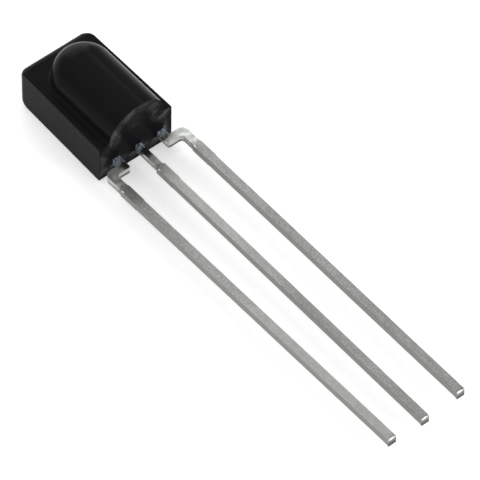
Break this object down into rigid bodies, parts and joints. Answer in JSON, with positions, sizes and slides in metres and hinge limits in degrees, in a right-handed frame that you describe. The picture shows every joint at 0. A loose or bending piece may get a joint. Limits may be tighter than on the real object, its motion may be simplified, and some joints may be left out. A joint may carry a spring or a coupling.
{
  "type": "infrared receiver module",
  "caption": "Small black cast infrared receiver with a domed half-cylinder lens on its front and tinned sheet-metal leads in a row.",
  "frame": {"origin": "middle of the flat back of the cast body", "axes": "+Z out through the lens, +Y from the leads towards the domed end, +X across the body to the right when the lens faces the viewer and the leads point down"},
  "size_m": [0.0056, 0.032, 0.0049],
  "materials": {
    "cast_epoxy": "glossy infrared-passing epoxy, as cast",
    "tinned_sheet": "satin matte-tin plate over stamped steel sheet",
    "silicon": "polished silicon",
    "silver_adhesive": "cured silver-filled adhesive",
    "gold_wire": "drawn gold"
  },
  "bodies": {
    "root": {"package_body": "cast_epoxy", "lead_output": "tinned_sheet", "lead_ground": "tinned_sheet", "lead_supply": "tinned_sheet", "photodiode_chip": "silicon", "receiver_ic": "silicon", "photodiode_die_attach": "silver_adhesive", "ic_die_attach": "silver_adhesive", "bond_wire_signal": "gold_wire", "bond_wire_output": "gold_wire", "bond_wire_supply": "gold_wire", "bond_wire_ground": "gold_wire"}
  },
  "joints": []
}
